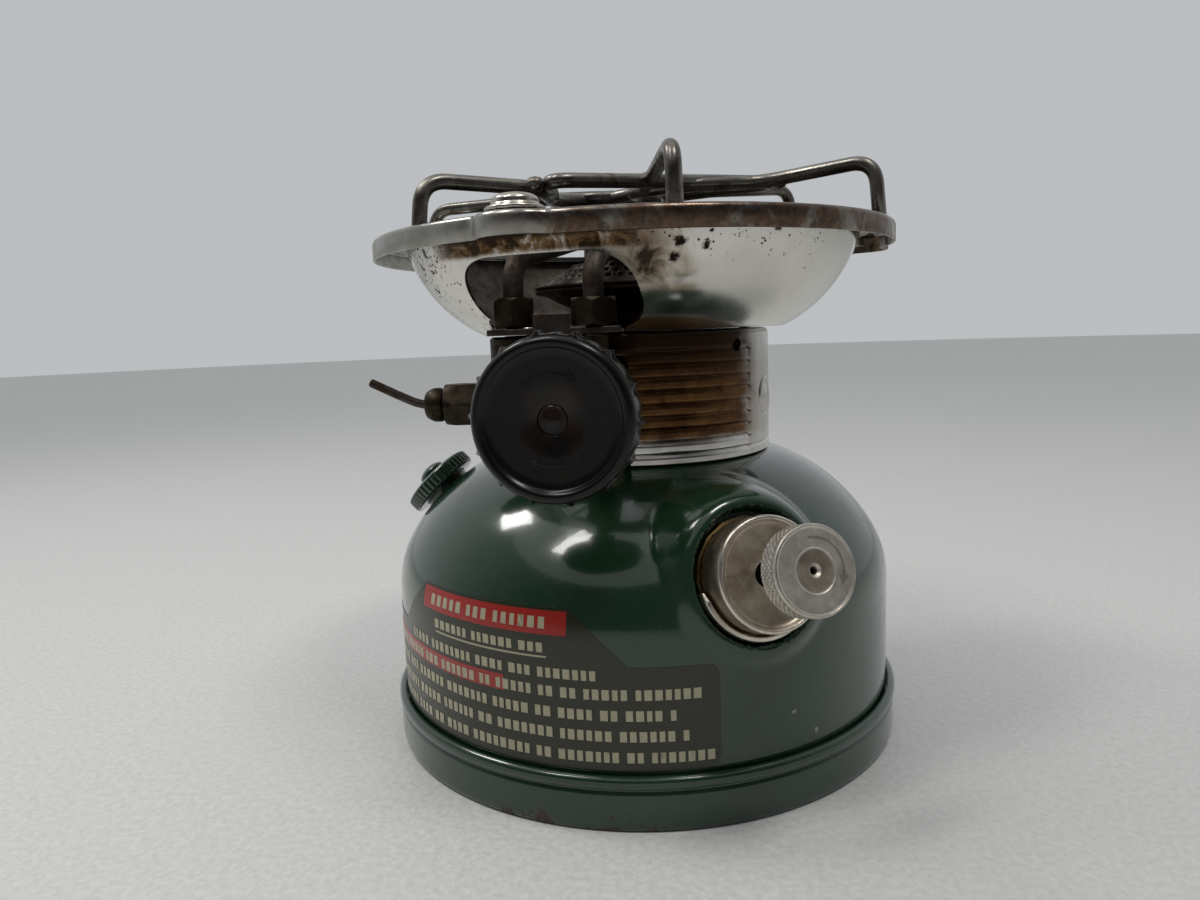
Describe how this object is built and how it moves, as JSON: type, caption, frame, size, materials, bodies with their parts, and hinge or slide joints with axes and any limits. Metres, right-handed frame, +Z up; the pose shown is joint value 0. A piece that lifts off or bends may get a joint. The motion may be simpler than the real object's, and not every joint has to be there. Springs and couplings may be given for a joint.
{
  "type": "camp stove",
  "caption": "Single-burner liquid-fuel camp stove: round pump-fed fuel tank, valve wheel, lighting lever, looped vapour pipe, wind bowl and wire pot support.",
  "frame": {"origin": "on the ground, under the middle of the stove's overall outline seen from above; the fuel tank's axis stands at x = -1.4 mm, y = +7.1 mm", "axes": "+Z up; -Y is the front, where the valve wheel and the pump knob are; +X is to the right of someone facing the front"},
  "size_m": [0.1447, 0.1561, 0.1535],
  "materials": {
    "enamel_green": "glossy dark green stove enamel, chipped and rusted at the base edge",
    "nickel_bright": "nickel plate with rust specks and brown heat stain",
    "nickel_worn": "worn nickel plate, brown where heated or handled",
    "steel_plain": "plain bright steel",
    "steel_blued": "heat-darkened steel wire, shiny at the outer bends",
    "steel_sooty": "dark sooty steel",
    "brass_sooty": "dirty brown brass",
    "brass_clean": "plain brass",
    "moulding_black": "black moulded plastic, satin, rubbed at the ribs",
    "leather": "oiled leather",
    "packing": "dark graphite packing"
  },
  "bodies": {
    "stove": {"fount_shell": "enamel_green", "fount_base": "enamel_green", "collar": "nickel_bright", "wind_bowl": "nickel_bright", "rim_nut_1": "nickel_bright", "rim_nut_2": "nickel_bright", "rim_nut_3": "nickel_bright", "bowl_screw_1": "nickel_bright", "bowl_screw_2": "nickel_bright", "bowl_screw_3": "nickel_bright", "rim_ring": "nickel_worn", "pump_cap_clip": "nickel_worn", "pump_cap": "nickel_worn", "pot_support": "steel_blued", "burner_lower_half": "steel_sooty", "burner_upper_half": "steel_sooty", "burner_cap": "steel_sooty", "burner_cap_screw": "steel_sooty", "mixing_tube": "steel_sooty", "vapour_pipe": "steel_sooty", "vapour_pipe_bracket": "steel_sooty", "valve_body": "brass_sooty", "valve_packing_nut": "brass_sooty", "lever_packing_nut": "brass_sooty", "lever_gland_nut": "brass_sooty", "gas_tip": "brass_sooty", "vapour_pipe_inlet_nut": "brass_sooty", "vapour_pipe_jet_nut": "brass_sooty", "valve_bung": "brass_clean", "filler_neck": "brass_clean", "pump_cylinder": "brass_clean", "check_valve_body": "brass_clean", "fuel_pickup_tube": "brass_clean", "pickup_strainer": "brass_clean", "valve_packing": "packing"},
    "filler_gasket": {"filler_cap_gasket": "packing"},
    "filler_cap": {"filler_cap": "enamel_green", "filler_cap_screw": "enamel_green"},
    "pump_plunger": {"pump_cup": "leather", "pump_cup_nut": "brass_clean"},
    "pump_knob": {"pump_rod": "steel_plain", "pump_knob": "nickel_worn"},
    "air_stem": {"air_stem": "steel_plain"},
    "check_ball": {"check_valve_ball": "steel_plain"},
    "valve_stem": {"valve_stem": "brass_sooty"},
    "valve_wheel": {"valve_wheel": "moulding_black", "valve_wheel_screw": "moulding_black"},
    "lighting_lever": {"lever_shaft": "brass_sooty", "lighting_lever": "steel_sooty"},
    "cleaning_needle": {"cleaning_needle": "steel_sooty"}
  },
  "joints": [
    {"name": "filler_travel", "type": "slide", "parent": "stove", "child": "filler_gasket", "axis": [-0.7002, 0.0984, 0.7071], "range_m": [0, 0.00449]},
    {"name": "filler_turn", "type": "hinge", "parent": "filler_gasket", "child": "filler_cap", "pos_m": [-0.05892, 0.01518, 0.06365], "axis": [-0.7002, 0.0984, 0.7071], "range_deg": [0, 1080]},
    {"name": "pump_stroke", "type": "slide", "parent": "stove", "child": "pump_plunger", "axis": [0.3737, -0.8803, 0.2924], "range_m": [-0.0098, 0.05]},
    {"name": "pump_knob_turn", "type": "hinge", "parent": "pump_plunger", "child": "pump_knob", "pos_m": [0.02439, -0.05365, 0.055], "axis": [0.3737, -0.8803, 0.2924], "range_deg": [0, 360]},
    {"name": "air_stem_turn", "type": "hinge", "parent": "stove", "child": "air_stem", "pos_m": [0.02439, -0.05365, 0.055], "axis": [0.3737, -0.8803, 0.2924], "range_deg": [0, 360]},
    {"name": "check_ball_lift", "type": "slide", "parent": "stove", "child": "check_ball", "axis": [0.3737, -0.8803, 0.2924], "range_m": [0, 0.0012]},
    {"name": "valve_travel", "type": "slide", "parent": "stove", "child": "valve_stem", "axis": [-0.1641, -0.9864, 0], "range_m": [0, 0.00179]},
    {"name": "valve_turn", "type": "hinge", "parent": "valve_stem", "child": "valve_wheel", "pos_m": [-0.0109, -0.0259, 0.0925], "axis": [-0.1641, -0.9864, 0], "range_deg": [0, 720]},
    {"name": "lever_turn", "type": "hinge", "parent": "stove", "child": "lighting_lever", "pos_m": [-0.031, -0.0229, 0.0925], "axis": [1, 0, 0], "range_deg": [0, 180]},
    {"name": "needle_travel", "type": "slide", "parent": "stove", "child": "cleaning_needle", "axis": [0.7297, 0.6837, 0], "range_m": [-0.0016, 0]}
  ],
  "couplings": [
    {"joint": "filler_turn", "follows": "filler_travel", "rad_per_m": 4189.4},
    {"joint": "air_stem_turn", "follows": "pump_knob_turn", "ratio": 1},
    {"joint": "valve_turn", "follows": "valve_travel", "rad_per_m": 6983.2},
    {"joint": "lever_turn", "follows": "needle_travel", "rad_per_m": -1963.5}
  ]
}
